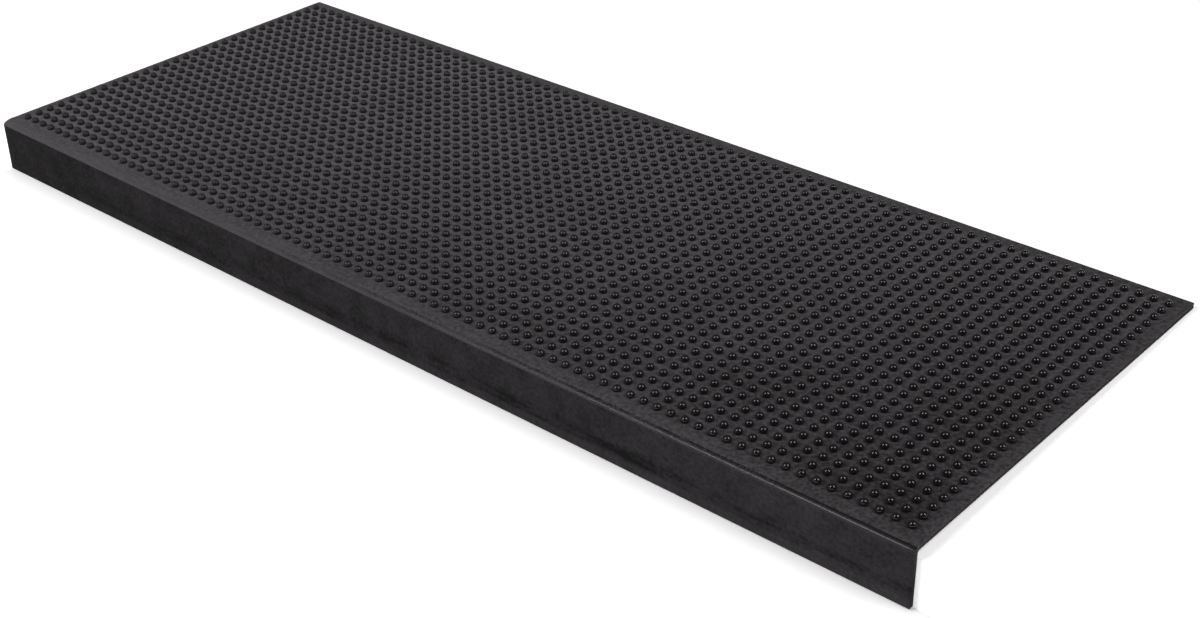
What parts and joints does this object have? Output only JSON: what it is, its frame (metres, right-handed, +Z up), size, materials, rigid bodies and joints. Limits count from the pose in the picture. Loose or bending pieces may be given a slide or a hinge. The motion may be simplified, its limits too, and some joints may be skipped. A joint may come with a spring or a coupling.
{
  "type": "anti slip stair tread mat",
  "caption": "Thin black rubber mat for one stair tread, with a field of small round nubs and a lip turned down over the front edge.",
  "frame": {"origin": "middle of the flat face that lies on the stair tread", "axes": "+X along the step's front edge, +Y from the front edge to the back of the tread, +Z up, with the lip hanging down at -Y"},
  "size_m": [0.65, 0.255, 0.035],
  "materials": {
    "rubber": "moulded, satin"
  },
  "bodies": {
    "root": {"tread_mat": "rubber"}
  },
  "joints": []
}
